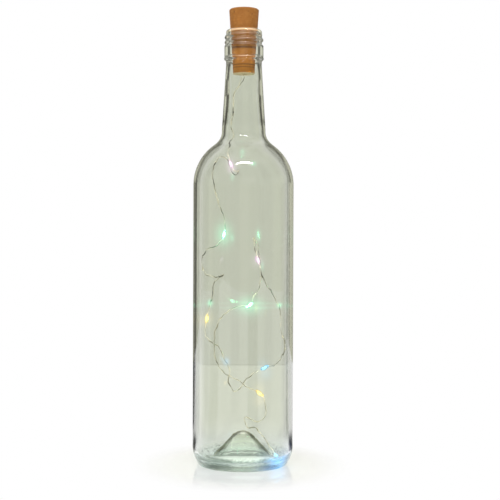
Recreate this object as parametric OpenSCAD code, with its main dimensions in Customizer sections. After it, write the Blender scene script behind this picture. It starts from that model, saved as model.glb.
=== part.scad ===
// Cork bottle light: a clear wine bottle closed by a cork-shaped battery stopper,
// with a string of eight coloured lights hanging from the stopper into the bottle.
// Millimetres. The origin is at the centre of the ring that the bottle stands on.

/* [Bottle] */
// Height of the glass from table to lip
bottle_h = 325; // [322:0.5:332]
// Outer diameter of the straight body
body_d = 75; // [74:0.5:80]
// Thickness of the glass in body and shoulder
body_wall = 2.5; // [2:0.1:3]
// Height at which the shoulder starts to curve in
shoulder_z = 209; // [204:0.5:211]
// Radius of the shoulder curve
shoulder_r = 36.5; // [36:0.1:37]
// Outer diameter at the foot of the neck
neck_base_d = 32.6; // [32.2:0.1:34]
// Radius of the hollow curve from shoulder to neck
neck_fillet = 12; // [11:0.5:13]
// Outer diameter of the neck under the ring
neck_top_d = 26.7; // [26:0.1:27.6]

/* [Finish] */
// Outer diameter of the smooth band under the thread
band_d = 29.2; // [28.6:0.1:30]
// Height of the smooth band
band_h = 8.4; // [6:0.1:9]
// Distance from the lip down to the band
band_drop = 11.8; // [11:0.1:13]
// Outer diameter of the ring under the band
ring_d = 29.6; // [29:0.1:30.6]
// Height of that ring
ring_h = 2.8; // [2:0.1:3.2]
// Outer diameter of the glass at the lip
lip_d = 26.8; // [26.4:0.1:28]
// Rounding of the lip's outer edge
lip_round = 2.1; // [1.8:0.1:2.2]
// Height of the bore that the stopper sits in
bore_h = 21; // [16:0.5:22]
// Gap between stopper and bore where the stopper is tightest
seat_gap = 0.06; // [0.04:0.01:0.1]

/* [Base] */
// Height of the hollow under the base
punt_h = 24; // [20:0.5:28]
// Radius of the hollow's rounded top
punt_crown = 10; // [9:0.5:11]
// Thickness of the glass over the hollow
punt_wall = 2.7; // [2.4:0.1:3.4]
// Radius of the large curve at the heel
heel_r = 24; // [22:0.5:26]
// Height at which the heel curve starts
heel_z = 14.5; // [13:0.5:16]
// Rounding of the ring that the bottle stands on
foot_round = 3; // [2.6:0.1:3.4]
// Width of the flat land under that ring
foot_land = 1.6; // [1:0.1:2]
// Thickness of the glass floor beside the hollow
floor_t = 6.2; // [5.4:0.1:7]
// Inner radius between floor and wall
inner_heel = 8; // [7:0.5:9]

/* [Stopper] */
// Length of the whole stopper
cork_len = 47.6; // [47:0.1:50]
// How far the stopper stands out of the bottle
cork_proud = 15.4; // [14:0.1:18]
// Diameter of the stopper at its top
cork_top_d = 22.2; // [22:0.1:23]
// Diameter of the stopper at its lower end
cork_low_d = 16.2; // [16:0.1:17]
// Rounding of the top edge
cork_round = 1.3; // [0.8:0.1:2]
// Distance from the lower end to the joint line of the head
seam_h = 19.8; // [19:0.1:22]
// Outer diameter of the spigot that the head pushes onto
spigot_d = 16; // [15.8:0.1:16.2]
// Length of that spigot
spigot_h = 6; // [5:0.1:6.4]
// Running gap between spigot and head
spigot_gap = 0.05; // [0.03:0.01:0.08]
// Thickness of the lower end wall
end_wall = 2.8; // [2.4:0.1:3.4]
// Diameter of the wire plug in the end wall
plug_d = 3.8; // [3.4:0.1:4.4]

/* [Cells] */
// Diameter of a button cell
cell_d = 11.6; // [11.4:0.1:11.7]
// Height of a button cell
cell_h = 5.4; // [5.2:0.1:5.5]
// Gap between the cells and their chamber
cell_gap = 0.3; // [0.2:0.05:0.35]
// Thickness of the sheet metal contacts
sheet_t = 0.3; // [0.2:0.05:0.4]
// Rise of the domed contact under the cells
dome_rise = 0.7; // [0.5:0.1:1]
// Width of the strip that runs up beside the cells
strip_w = 2; // [1.6:0.1:2.4]

/* [Head] */
// Height of the circuit board above the lower end of the stopper
board_h = 30.2; // [29.8:0.1:31]
// Thickness of the circuit board
board_t = 1; // [0.8:0.1:1.2]
// Diameter of the circuit board
board_d = 15; // [14.8:0.1:15.2]
// Height of the collar that holds the board
collar_h = 2; // [1.6:0.1:2.2]
// Side of the square push switch
switch_w = 6; // [5.6:0.1:6.2]
// Height of the push switch
switch_h = 3.5; // [3.1:0.1:3.8]
// Thickness of the head's top wall
top_wall = 3.2; // [2.8:0.1:3.6]
// Diameter of the push button
button_d = 7; // [6:0.1:8]
// Running gap round the push button
button_gap = 0.08; // [0.05:0.01:0.1]
// Depth of the recess round the push button
recess_h = 0.8; // [0.6:0.1:1.2]
// Travel of the push button
button_travel = 0.6; // [0.4:0.1:0.8]
// Wire thickness of the contact spring
spring_wire = 0.5; // [0.4:0.05:0.6]
// Mean diameter of the contact spring
spring_d = 5; // [4:0.1:6]
// Turns of the contact spring
spring_turns = 4; // [3:1:6]

/* [Light string] */
// Diameter of the twin wire
wire_d = 0.8; // [0.6:0.05:1]
// Diameter of a light bead
bead_d = 3.3; // [3:0.1:3.6]
// Length of a light bead
bead_l = 6.8; // [6:0.1:7.4]

/* [Hidden] */
$fn = 96;

body_r = body_d / 2;
finish_z = bottle_h - band_drop;
bore_z = bottle_h - lip_round - bore_h;
mouth_round = 0.8;
notch = 0.3;
neck_bore = [[12.8, 10], [11.4, 24], [11.3, 41]];
arc_steps = 10;
long_arc_steps = 24;

punt_slope = 48;
flare_drop = 3;
cork_z = bottle_h + cork_proud - cork_len;
cork_top_z = cork_z + cork_len;
cork_taper = (cork_top_d - cork_low_d) / 2 / cork_len;
seam_z = cork_z + seam_h;
chamber_r = cell_d / 2 + cell_gap;
chamber_z = cork_z + end_wall;
cells_z = chamber_z + sheet_t + dome_rise;
cells_top_z = cells_z + 3 * cell_h;
groove_depth = 0.6;
groove_side_gap = 0.2;
fit_gap = 0.05;
contact_gap = 0.1;

board_z = cork_z + board_h;
socket_r = spigot_d / 2 + spigot_gap;
socket_h = spigot_h + 0.2;
board_bore_r = board_d / 2 + fit_gap;
head_cavity_r = 6.6;
head_cavity_top = cork_top_z - recess_h - top_wall;
recess_r = button_d / 2 + 1.1;
collar_r = 6.9;
contact_ring_r = 6.6;
contact_ring_w = 0.8;
button_flange = 0.9;
button_flange_h = 0.6;
stem_d = 3.2;
plunger_d = 3.4;
plunger_h = 0.9;
switch_top_z = board_z + board_t + switch_h;
plunger_well = button_travel + 0.6;

// Route of the twin wire from the stopper down to the last light, hand-chosen points
route_rest = [
    [0, 0, 290.5], [-2.5, 0, 286], [-6, 0.5, 281.5], [-9, 1, 277], [-9, 1, 271],
    [-8, 0, 264], [-9, -1, 257.5], [-9.5, 0, 251.5], [-7, 2, 245], [-11, 3, 238.5],
    [-11.5, 2, 232], [-9.5, 1, 225], [-7, 3, 220], [-3.5, 6, 220], [-7.5, 10, 217.5],
    [-12.5, 13, 229], [-18.5, 12, 231.5], [-22.5, 10, 226.5], [-24, 8, 218],
    [-21.5, 4, 206], [-18.5, 1, 195], [-14, -1, 184], [-14.5, 0, 172], [-19, 2, 164.5],
    [-27, 5, 160.5], [-32, 8, 153.5], [-30, 11, 143.5], [-22.5, 12, 139.5],
    [-14.5, 15, 141.5], [-22.5, 16, 135.5], [-24.5, 11, 124], [-27.5, 4, 108.5],
    [-28.5, 2, 99], [-24.5, -1, 92], [-18, -2, 87.5], [-14.5, -2, 80], [-10, 1, 70.5],
    [-11, 4, 62], [-6.5, 7, 53.5], [-1.5, 9, 56.5], [3, 10, 63], [16.5, 8, 71.5],
    [25, 7, 74], [31, 6, 82], [32, 5, 90.5], [29.5, 6, 99], [28.5, 9, 112],
    [25, 12, 123], [17, 14, 135.5], [11, 12, 152.5], [9, 11, 162], [8, 14, 170],
    [11.5, 18, 160], [14, 19, 145], [12.5, 16, 133.5], [9.5, 12, 126.5], [5, 8, 119],
    [-5, 5, 117.5], [-14, 4, 112.5], [-20, 6, 102.5], [-22, 9, 91], [-20.5, 13, 75.5],
    [-14, 16, 66], [-4.5, 15, 61.5], [3.5, 10, 56.5], [12.5, 6, 52.5], [17, 4, 45.5],
    [17, 5, 35.5], [10.5, 8, 30.5], [1.5, 10, 34], [4, 9, 26], [9, 8, 26.5],
    [14.5, 5, 21], [20.5, -2, 13.5], [24.5, -12, 8.6]];
route = concat([[0, 0, cork_z]], route_rest);
bead_at = [12, 23, 32, 42, 50, 57, 66, 75];

// Points of a circular arc in the outline plane
function arc(c, r, a0, a1, n = arc_steps) =
    [for (i = [0:n]) let (a = a0 + (a1 - a0) * i / n) [c.x + r * cos(a), c.y + r * sin(a)]];

// Points of a curve that leaves a towards b and arrives at c from b
function bend(a, b, c, n = arc_steps) =
    [for (i = [0:n]) let (t = i / n) (1 - t) * (1 - t) * a + 2 * t * (1 - t) * b + t * t * c];

// Radius of the stopper's outside at a height
function cork_r(z) = cork_low_d / 2 + cork_taper * (z - cork_z);

function unit(v) = v / norm(v);

// Direction of a route at one of its points
function heading(p, i) = unit(p[min(i + 1, len(p) - 1)] - p[max(i - 1, 0)]);

// Side vector of each ring, carried along the route so that the tube doesn't twist
function sides_of(p, i = 0, out = []) = i == len(p) ? out :
    let (t = heading(p, i),
        last = i == 0 ? (abs(t.x) < 0.9 ? [1, 0, 0] : [0, 1, 0]) : out[i - 1],
        s = unit(last - (last * t) * t))
    sides_of(p, i + 1, concat(out, [s]));

// Round tube along a list of points
module tube(p, d, sides) {
    s = sides_of(p);
    rings = [for (i = [0:len(p) - 1]) let (t = heading(p, i), u = s[i], v = cross(t, u))
        for (k = [0:sides - 1]) p[i] + d / 2 * (cos(360 * k / sides) * u + sin(360 * k / sides) * v)];
    last = (len(p) - 1) * sides;
    walls = [for (i = [0:len(p) - 2]) for (k = [0:sides - 1])
        let (a = i * sides + k, b = i * sides + (k + 1) % sides)
        for (f = [[a, a + sides, b], [b, a + sides, b + sides]]) f];
    ends = [[for (k = [0:sides - 1]) k], [for (k = [sides - 1:-1:0]) last + k]];
    polyhedron(concat(rings), concat(walls, ends), convexity = 10);
}

// Outer side of the glass, from the top of the hollow under the base up to the lip
function glass_outside() =
    let (crown = [0, punt_h - punt_crown],
        foot_r = body_r - heel_r
            + sqrt(pow(heel_r - foot_round, 2) - pow(heel_z - foot_round, 2)),
        heel_end = asin((heel_z - foot_round) / (heel_r - foot_round)),
        land_in = [foot_r - foot_land, foot_round],
        slope_top = crown + punt_crown * [sin(punt_slope), cos(punt_slope)],
        flare = [slope_top.x + (slope_top.y - flare_drop) / tan(punt_slope), flare_drop],
        shoulder = [body_r - shoulder_r, shoulder_z],
        neck_c = neck_centre(),
        turn = atan2(neck_c.y - shoulder.y, neck_c.x - shoulder.x),
        neck_r = neck_top_d / 2,
        ring_z = finish_z - band_h - ring_h,
        ring_c = [ring_d / 2 - ring_h / 2, ring_z + ring_h / 2])
    concat(
        arc(crown, punt_crown, 90, 90 - punt_slope),
        bend(slope_top, flare, land_in + foot_round * [cos(240), sin(240)]),
        arc(land_in, foot_round, -120, -90, 4),
        arc([foot_r, foot_round], foot_round, -90, -heel_end),
        arc([body_r - heel_r, heel_z], heel_r, -heel_end, 0),
        arc(shoulder, shoulder_r, 0, turn, long_arc_steps),
        arc(neck_c, neck_fillet, 180 + turn, 180, long_arc_steps),
        [[neck_r, ring_z - 4], [neck_r, ring_z]],
        arc(ring_c, ring_h / 2, -80, 70),
        [[band_d / 2 - notch, finish_z - band_h], [band_d / 2, finish_z - band_h + notch],
            [band_d / 2, finish_z - notch], [lip_d / 2 + notch, finish_z + notch],
            [lip_d / 2, finish_z + 3 * notch]],
        arc([lip_d / 2 - lip_round, bottle_h - lip_round], lip_round, 0, 90));

function neck_centre() =
    let (x = neck_base_d / 2 + neck_fillet, reach = shoulder_r + neck_fillet)
    [x, shoulder_z + sqrt(reach * reach - pow(x - body_r + shoulder_r, 2))];

// Inner side of the glass, from the lip down to the middle of the floor
function glass_inside() =
    let (mouth_r = cork_r(bottle_h - mouth_round) + seat_gap,
        neck_c = neck_centre(),
        shoulder = [body_r - shoulder_r, shoulder_z],
        turn = atan2(neck_c.y - shoulder.y, neck_c.x - shoulder.x),
        inner_r = body_r - body_wall,
        crown = [0, punt_h - punt_crown],
        crown_r = punt_crown + punt_wall,
        slope_top = crown + crown_r * [sin(punt_slope), cos(punt_slope)],
        flare = [slope_top.x + (slope_top.y - floor_t) / tan(punt_slope), floor_t])
    concat(
        arc([mouth_r + mouth_round, bottle_h - mouth_round], mouth_round, 90, 180, 6),
        [[mouth_r, bore_z]],
        [for (i = [2:-1:0]) [neck_bore[i].x, neck_c.y + neck_bore[i].y]],
        arc(neck_c, neck_fillet + body_wall, 180, 180 + turn, long_arc_steps),
        arc(shoulder, shoulder_r - body_wall, turn, 0, long_arc_steps),
        arc([inner_r - inner_heel, floor_t + inner_heel], inner_heel, 0, -90),
        bend([inner_r - inner_heel, floor_t], flare, slope_top),
        arc(crown, crown_r, 90 - punt_slope, 90));

module bottle() {
    color([0.74, 0.75, 0.69, 0.4])
        rotate_extrude() polygon(concat(glass_outside(), glass_inside()));
}

module light_wire() {
    color("silver") tube(route, wire_d, 8);
}

// Light bead: a clear egg-shaped drop round the wire, cut off where the wire leaves it
module led_bead(i) {
    t = heading(route, bead_at[i - 1]);
    cut = 0.96;
    steps = 8;
    half = [for (k = [-steps:steps]) let (u = cut * k / steps)
        [bead_d / 2 * sqrt(1 - u * u), bead_l / 2 * u / cut]];
    color(["pink", "lightgreen", "khaki", "lightblue"][(i - 1) % 4])
        translate(route[bead_at[i - 1]])
            rotate([0, acos(t.z), atan2(t.y, t.x)])
                rotate_extrude()
                    polygon(concat([[0, -bead_l / 2]], half, [[0, bead_l / 2]]));
}

module ring(z, h, r_out, r_in) {
    translate([0, 0, z]) difference() {
        cylinder(h = h, r = r_out);
        translate([0, 0, -1]) cylinder(h = h + 2, r = r_in);
    }
}

// Slot for the side strip, in the wall of the cell chamber
module strip_slot() {
    w = strip_w + 2 * groove_side_gap;
    translate([0, -w / 2, chamber_z])
        cube([chamber_r + groove_depth, w, seam_h + spigot_h]);
}

module stopper_body() {
    color([0.68, 0.45, 0.22]) difference() {
        union() {
            translate([0, 0, cork_z])
                cylinder(h = seam_h, r1 = cork_low_d / 2, r2 = cork_r(seam_z));
            translate([0, 0, seam_z - 1]) cylinder(h = spigot_h + 1, d = spigot_d);
        }
        translate([0, 0, chamber_z]) cylinder(h = seam_h + spigot_h, r = chamber_r);
        translate([0, 0, cork_z - 1]) cylinder(h = end_wall + 2, d = plug_d);
        strip_slot();
    }
}

module wire_plug() {
    color([0.25, 0.25, 0.25])
        translate([0, 0, cork_z]) cylinder(h = end_wall, d = plug_d);
}

// Domed contact that the lowest cell rests on
module end_contact() {
    rim = cell_d / 2 - 0.6;
    crown = 1.5;
    color("gold") translate([0, 0, chamber_z]) rotate_extrude()
        polygon([[0, dome_rise], [crown, dome_rise], [rim - 1, 0], [rim, 0], [rim, sheet_t],
            [rim - 1, sheet_t], [crown, dome_rise + sheet_t], [0, dome_rise + sheet_t]]);
}

// Button cell: a can with a smaller lid, lid side down
module cell(i) {
    lid_h = 0.4;
    lid_r = cell_d / 2 - 1;
    color("silver") translate([0, 0, cells_z + (i - 1) * cell_h]) {
        cylinder(h = lid_h + 0.1, r = lid_r);
        translate([0, 0, lid_h]) cylinder(h = cell_h - lid_h, d = cell_d);
    }
}

// Strip that carries the current from the end contact's lead up to the head
module side_strip() {
    top_z = seam_z + spigot_h + contact_gap;
    color("gold") translate([chamber_r + contact_gap, -strip_w / 2, chamber_z])
        cube([sheet_t, strip_w, top_z - chamber_z]);
}

module head_shell() {
    color([0.68, 0.45, 0.22]) difference() {
        rotate_extrude() {
            top_r = cork_r(cork_top_z);
            polygon(concat(
                [[0, seam_z], [cork_r(seam_z), seam_z]],
                arc([top_r - cork_round, cork_top_z - cork_round], cork_round, 0, 90),
                [[0, cork_top_z]]));
        }
        translate([0, 0, seam_z - 1]) cylinder(h = socket_h + 1, r = socket_r);
        translate([0, 0, seam_z]) cylinder(h = board_z + board_t - seam_z, r = board_bore_r);
        translate([0, 0, board_z]) cylinder(h = head_cavity_top - board_z, r = head_cavity_r);
        translate([0, 0, board_z]) cylinder(h = cork_len, d = button_d + 2 * button_gap);
        translate([0, 0, cork_top_z - recess_h]) cylinder(h = recess_h + 1, r = recess_r);
    }
}

module board_collar() {
    color("white") ring(board_z - collar_h, collar_h, board_d / 2, collar_r);
}

module circuit_board() {
    color("darkgreen") translate([0, 0, board_z]) cylinder(h = board_t, d = board_d);
}

// Ring under the board with a tab that reaches down to the side strip
module ring_contact() {
    tab_z = seam_z + spigot_h + 2 * contact_gap;
    color("gold") {
        ring(board_z - sheet_t, sheet_t, contact_ring_r, contact_ring_r - contact_ring_w);
        translate([chamber_r + contact_gap, -strip_w / 2, tab_z])
            cube([sheet_t, strip_w, board_z - tab_z]);
    }
}

// Coil that presses the cells down, with closed end turns
module contact_spring() {
    low = cells_top_z + contact_gap + spring_wire / 2;
    high = board_z - spring_wire / 2;
    steps = 14;
    n = (spring_turns + 2) * steps;
    coil = [for (i = [0:n]) let (turn = i / steps,
        rise = turn < 1 ? 0.12 * turn : turn > spring_turns + 1 ? 0.88 + 0.12 * (turn - spring_turns - 1)
            : 0.12 + 0.76 * (turn - 1) / spring_turns)
        [spring_d / 2 * cos(360 * turn), spring_d / 2 * sin(360 * turn), low + rise * (high - low)]];
    color("silver") tube(coil, spring_wire, 6);
}

// Push switch, with a well that its plunger sinks into
module switch_body() {
    color([0.15, 0.15, 0.15]) difference() {
        translate([-switch_w / 2, -switch_w / 2, board_z + board_t])
            cube([switch_w, switch_w, switch_h]);
        translate([0, 0, switch_top_z - plunger_well])
            cylinder(h = plunger_well + 1, d = plunger_d + 2 * button_gap);
    }
}

module switch_plunger() {
    low_z = switch_top_z - plunger_well + button_travel + fit_gap;
    color([0.2, 0.2, 0.2]) translate([0, 0, low_z])
        cylinder(h = switch_top_z + plunger_h - low_z, d = plunger_d);
}

// Small surface parts beside the switch
module resistor() {
    color("black") translate([switch_w / 2 + 0.6, -1, board_z + board_t]) cube([1.2, 2, 0.5]);
}

module timer_chip() {
    color("black") translate([-switch_w / 2 - 2.2, -1.5, board_z + board_t]) cube([1.6, 3, 1]);
}

module push_button() {
    face_z = cork_top_z - notch;
    flange_z = head_cavity_top - button_flange_h - fit_gap;
    stem_z = switch_top_z + plunger_h;
    color([0.12, 0.12, 0.12]) {
        translate([0, 0, flange_z]) cylinder(h = face_z - flange_z, d = button_d);
        translate([0, 0, flange_z]) cylinder(h = button_flange_h, d = button_d + 2 * button_flange);
        translate([0, 0, stem_z]) cylinder(h = flange_z - stem_z + 0.1, d = stem_d);
    }
}

bottle();
light_wire();
for (i = [1:8]) led_bead(i);
stopper_body();
wire_plug();
end_contact();
for (i = [1:3]) cell(i);
side_strip();
head_shell();
board_collar();
circuit_board();
ring_contact();
contact_spring();
switch_body();
switch_plunger();
resistor();
timer_chip();
push_button();
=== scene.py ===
"""Cork bottle light: a clear wine bottle, a cork-shaped battery stopper and a string of eight lights."""

import logging
import math
from dataclasses import dataclass, replace
from enum import Enum
from typing import TypeVar

import bmesh
import bpy
from mathutils import Matrix, Vector, noise


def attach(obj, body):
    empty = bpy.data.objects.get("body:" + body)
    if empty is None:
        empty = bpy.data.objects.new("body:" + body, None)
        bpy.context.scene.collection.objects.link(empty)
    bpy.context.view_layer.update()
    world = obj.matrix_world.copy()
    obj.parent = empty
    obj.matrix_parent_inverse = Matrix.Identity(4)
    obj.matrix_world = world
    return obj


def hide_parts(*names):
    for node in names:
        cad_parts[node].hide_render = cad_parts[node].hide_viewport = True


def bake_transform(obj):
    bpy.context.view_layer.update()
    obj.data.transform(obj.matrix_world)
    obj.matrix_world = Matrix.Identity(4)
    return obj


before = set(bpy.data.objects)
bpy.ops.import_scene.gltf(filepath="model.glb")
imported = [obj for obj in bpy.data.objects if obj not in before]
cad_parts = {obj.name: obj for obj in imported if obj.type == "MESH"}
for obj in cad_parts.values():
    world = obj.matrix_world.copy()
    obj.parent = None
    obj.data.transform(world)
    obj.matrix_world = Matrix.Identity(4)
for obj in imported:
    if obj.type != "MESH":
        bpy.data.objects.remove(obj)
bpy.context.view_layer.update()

log = logging.getLogger("cork_bottle_light")
MM = 0.001
Point = tuple[float, float]
Triple = tuple[float, float, float]
Colour = tuple[float, float, float, float]
Face = tuple[int, ...]
Number = TypeVar("Number", float, Vector)

# A ramp is 0 at its first value and 1 at its second; a band goes up over two values and down over two
Ramp = tuple[float, float]
Band = tuple[float, float, float, float]
# Waves in the glass: blobs per metre, octaves, how much they are squeezed upright, and their height
Wave = tuple[float, float, float, float]

BLACK: Colour = (0.0, 0.0, 0.0, 1.0)
WHITE: Colour = (1.0, 1.0, 1.0, 1.0)
EVEN: Triple = (1.0, 1.0, 1.0)


def linear(red: float, green: float, blue: float) -> Colour:
    """Turns a display colour into shader values.

    Args:
        red: Red from 0 to 255.
        green: Green from 0 to 255.
        blue: Blue from 0 to 255.

    Returns:
        The colour in linear light, with an alpha of 1.
    """

    def channel(value: float) -> float:
        """Returns one channel in linear light."""
        share = value / 255
        return share / 12.92 if share <= 0.04045 else ((share + 0.055) / 1.055) ** 2.4

    return channel(red), channel(green), channel(blue), 1.0


def toned(colour: Triple | Colour, factor: float, lift: float = 0.0) -> Colour:
    """Makes a colour darker or paler.

    Args:
        colour: The colour, with or without an alpha.
        factor: What its channels are multiplied by.
        lift: What is added to them then.

    Returns:
        The new colour, its channels at most 1.
    """
    return (*(min(1.0, c * factor + lift) for c in colour[:3]), 1.0)


class Signal:
    """An output socket whose shader maths is written as Python expressions."""

    def __init__(self, graph: "Graph", socket: bpy.types.NodeSocket) -> None:
        """Wraps a socket of a graph."""
        self.graph = graph
        self.socket = socket

    def __add__(self, other: "Signal | float") -> "Signal":
        """Adds."""
        return self.graph.math("ADD", self, other)

    def __radd__(self, other: float) -> "Signal":
        """Adds to a number."""
        return self.graph.math("ADD", self, other)

    def __sub__(self, other: "Signal | float") -> "Signal":
        """Subtracts."""
        return self.graph.math("SUBTRACT", self, other)

    def __rsub__(self, other: float) -> "Signal":
        """Subtracts from a number."""
        return self.graph.math("SUBTRACT", other, self)

    def __mul__(self, other: "Signal | float") -> "Signal":
        """Multiplies."""
        return self.graph.math("MULTIPLY", self, other)

    def __rmul__(self, other: float) -> "Signal":
        """Multiplies a number."""
        return self.graph.math("MULTIPLY", self, other)

    def __truediv__(self, other: "Signal | float") -> "Signal":
        """Divides."""
        return self.graph.math("DIVIDE", self, other)

    def __pow__(self, power: float) -> "Signal":
        """Raises to a power."""
        return self.graph.math("POWER", self, power)

    def over(self, level: float, gain: float) -> "Signal":
        """Returns how far the value is over a level, times a gain."""
        return (self - level) * gain

    def capped(self) -> "Signal":
        """Returns the value, or 1 where it is more."""
        return self.graph.math("MINIMUM", self, 1.0)

    def step(self, start: float, full: float) -> "Signal":
        """Returns a smooth step that is 0 at start and 1 at full, whichever of them is larger."""
        return self.graph.signal("ShaderNodeMapRange", {"interpolation_type": "SMOOTHSTEP"},
                                 {0: self, 1: start, 2: full, 3: 0.0, 4: 1.0})

    def band(self, start: float, full: float, still: float, end: float) -> "Signal":
        """Returns a smooth band that is 1 from full to still and 0 before start and after end."""
        return self.step(start, full) * self.step(end, still)

    def vector(self, operation: str, *others: "Signal | Triple", output: str = "Vector") -> "Signal":
        """Adds a Vector Math node.

        Args:
            operation: The node's operation.
            others: The vectors after this one.
            output: Which output to return.

        Returns:
            The node's result.
        """
        values = dict(enumerate([self, *others]))
        return self.graph.signal("ShaderNodeVectorMath", {"operation": operation}, values, output)

    def parts(self) -> "list[Signal]":
        """Returns the three parts of a vector."""
        return self.graph.outputs("ShaderNodeSeparateXYZ", ("X", "Y", "Z"), inputs={0: self})


def between(start: Signal | float, end: Signal | float, share: Signal | float) -> Signal:
    """Goes from one value to another.

    Args:
        start: The value where share is 0.
        end: The value where share is 1.
        share: How far to go.

    Returns:
        The value.
    """
    return start + share * (end - start)


class Graph:
    """A node tree under construction, for a material or for the world."""

    def __init__(self, tree: bpy.types.NodeTree) -> None:
        """Empties the tree."""
        self.tree = tree
        tree.nodes.clear()

    def node(self, kind: str, settings: dict | None = None, inputs: dict | None = None) -> bpy.types.Node:
        """Adds a node.

        Args:
            kind: The node's type.
            settings: Its settings, set first.
            inputs: Its sockets by name or number, each with a value, a Signal or a socket.

        Returns:
            The new node.
        """
        made = self.tree.nodes.new(kind)
        for name, value in (settings or {}).items():
            setattr(made, name, value)
        for name, value in (inputs or {}).items():
            if isinstance(value, Signal):
                self.tree.links.new(value.socket, made.inputs[name])
            else:
                made.inputs[name].default_value = value
        return made

    def outputs(self, kind: str, names: tuple[str, ...], settings: dict | None = None,
                inputs: dict | None = None) -> list[Signal]:
        """Adds a node and returns some of its outputs.

        Args:
            kind: The node's type.
            names: The outputs to return.
            settings: Its settings.
            inputs: Its sockets.

        Returns:
            The outputs, ready for maths.
        """
        made = self.node(kind, settings, inputs)
        return [Signal(self, made.outputs[name]) for name in names]

    def signal(self, kind: str, settings: dict | None = None, inputs: dict | None = None,
               output: int | str = 0) -> Signal:
        """Adds a node and returns one of its outputs.

        Args:
            kind: The node's type.
            settings: Its settings.
            inputs: Its sockets.
            output: Which output to return.

        Returns:
            The output, ready for maths.
        """
        return Signal(self, self.node(kind, settings, inputs).outputs[output])

    def math(self, operation: str, *values: Signal | float) -> Signal:
        """Returns the result of a Math node."""
        return self.signal("ShaderNodeMath", {"operation": operation}, dict(enumerate(values)))

    def place(self) -> Signal:
        """Returns the point on the piece, in metres in the object's own frame."""
        return self.signal("ShaderNodeTexCoord", output="Object")

    def height(self) -> Signal:
        """Returns the height of the point on the piece, in metres."""
        return self.place().parts()[2]

    def stretched(self, factors: Triple) -> Signal:
        """Returns the point on the piece with its axes scaled."""
        return self.place().vector("MULTIPLY", factors)

    def noise(self, scale: float, detail: float = 3.0, roughness: float = 0.5,
              place: Signal | None = None) -> Signal:
        """Returns soft noise from 0 to 1.

        Args:
            scale: Blobs per metre.
            detail: Octaves.
            roughness: Weight of the finer octaves.
            place: Where to sample, or None for the point on the piece.

        Returns:
            The noise.
        """
        return self.signal("ShaderNodeTexNoise", None, {
            "Vector": place or self.place(), "Scale": scale, "Detail": detail, "Roughness": roughness})

    def spot(self, place: Vector, reach: float, scale: Triple = EVEN) -> Signal:
        """Returns a soft round spot on the piece.

        Args:
            place: Its middle, in metres.
            reach: Its radius in metres.
            scale: Weights of the three axes, 0 for an axis that the spot is thrown along.

        Returns:
            The spot, 1 in its middle.
        """
        middle = tuple(c * k for c, k in zip(place, scale))
        away = self.stretched(scale).vector("DISTANCE", middle, output="Value")
        return self.math("EXPONENT", 0.0 - (away / reach) ** 2.0)

    def mix(self, share: Signal | float, a: Signal | Colour, b: Signal | Colour,
            blend_type: str = "MIX") -> Signal:
        """Mixes two colours.

        Args:
            share: How much of b.
            a: First colour.
            b: Second colour.
            blend_type: How they combine.

        Returns:
            The mixed colour.
        """
        settings = {"data_type": "RGBA", "blend_type": blend_type}
        return self.signal("ShaderNodeMix", settings, {0: share, 6: a, 7: b}, output=2)

    def lit(self, total: Signal | Colour, share: Signal, colour: Colour) -> Signal:
        """Adds light to a total.

        Args:
            total: The light so far.
            share: How much of the colour is added.
            colour: The colour of the light.

        Returns:
            The new total.
        """
        return self.mix(1.0, total, self.mix(share, BLACK, colour), "ADD")

    def bump(self, height: Signal, depth: float, strength: float = 1.0) -> Signal:
        """Turns a height from 0 to 1 into a bumped normal.

        Args:
            height: The height.
            depth: How deep it goes, in metres.
            strength: Share of the bump that shows.

        Returns:
            The normal.
        """
        inputs = {"Height": height, "Distance": depth, "Strength": strength}
        return self.signal("ShaderNodeBump", None, inputs)

    def principled(self, inputs: dict) -> Signal:
        """Returns the surface shader with the given sockets."""
        return self.signal("ShaderNodeBsdfPrincipled", None, inputs)

    def either(self, share: Signal, first: Signal, second: Signal) -> Signal:
        """Returns a mix of two shaders, the second one where share is 1."""
        return self.signal("ShaderNodeMixShader", None, {0: share, 1: first, 2: second})


@dataclass(frozen=True)
class Finish:
    """A finish: a name and a way to build its material."""

    name: str

    def shade(self, graph: Graph) -> Signal:
        """Builds the surface, each finish in its own way.

        Args:
            graph: The material's nodes.

        Returns:
            The surface shader.
        """
        raise NotImplementedError

    def material(self) -> bpy.types.Material:
        """Builds the material, once for each name.

        Returns:
            The material.
        """
        found = bpy.data.materials.get(self.name)
        if found:
            return found
        made = bpy.data.materials.new(self.name)
        made.use_nodes = True
        graph = Graph(made.node_tree)
        graph.node("ShaderNodeOutputMaterial", None, {"Surface": self.shade(graph)})
        return made


class LightColour(Enum):
    """Colours of the lights, in their order on the wire."""

    PINK = ((0.66, 0.44, 0.72), (0.70, 0.52, 0.74), (0.88, 0.76, 0.90), 0.0042, 0.05)
    GREEN = ((0.10, 0.80, 0.46), (3.0, 16.0, 8.0), (0.70, 0.98, 0.86), 0.0054, 0.12)
    YELLOW = ((0.95, 0.70, 0.20), (1.1, 0.78, 0.22), (0.97, 0.84, 0.48), 0.0042, 0.05)
    BLUE = ((0.06, 0.50, 1.0), (0.25, 0.85, 1.25), (0.58, 0.82, 0.96), 0.0042, 0.05)

    def __init__(self, glow: Triple, core: Triple, tint: Triple, reach: float, strength: float) -> None:
        """Names the values of a colour.

        Args:
            glow: What the light throws on the glass round it.
            core: Light of the chip, where above 1 is brighter than white.
            tint: Tint of the clear drop.
            reach: Radius of the glow in metres.
            strength: Strength of the glow.
        """
        self.glow = (*glow, 1.0)
        self.core = core
        self.tint = (*tint, 1.0)
        self.reach = reach
        self.strength = strength


@dataclass(frozen=True)
class Lamp:
    """One light of the string, with the shape of its glow on the glass."""

    place: Vector
    colour: LightColour
    streak: float = 0.0
    squeeze: Triple = EVEN
    core_share: float = 1.0


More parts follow.
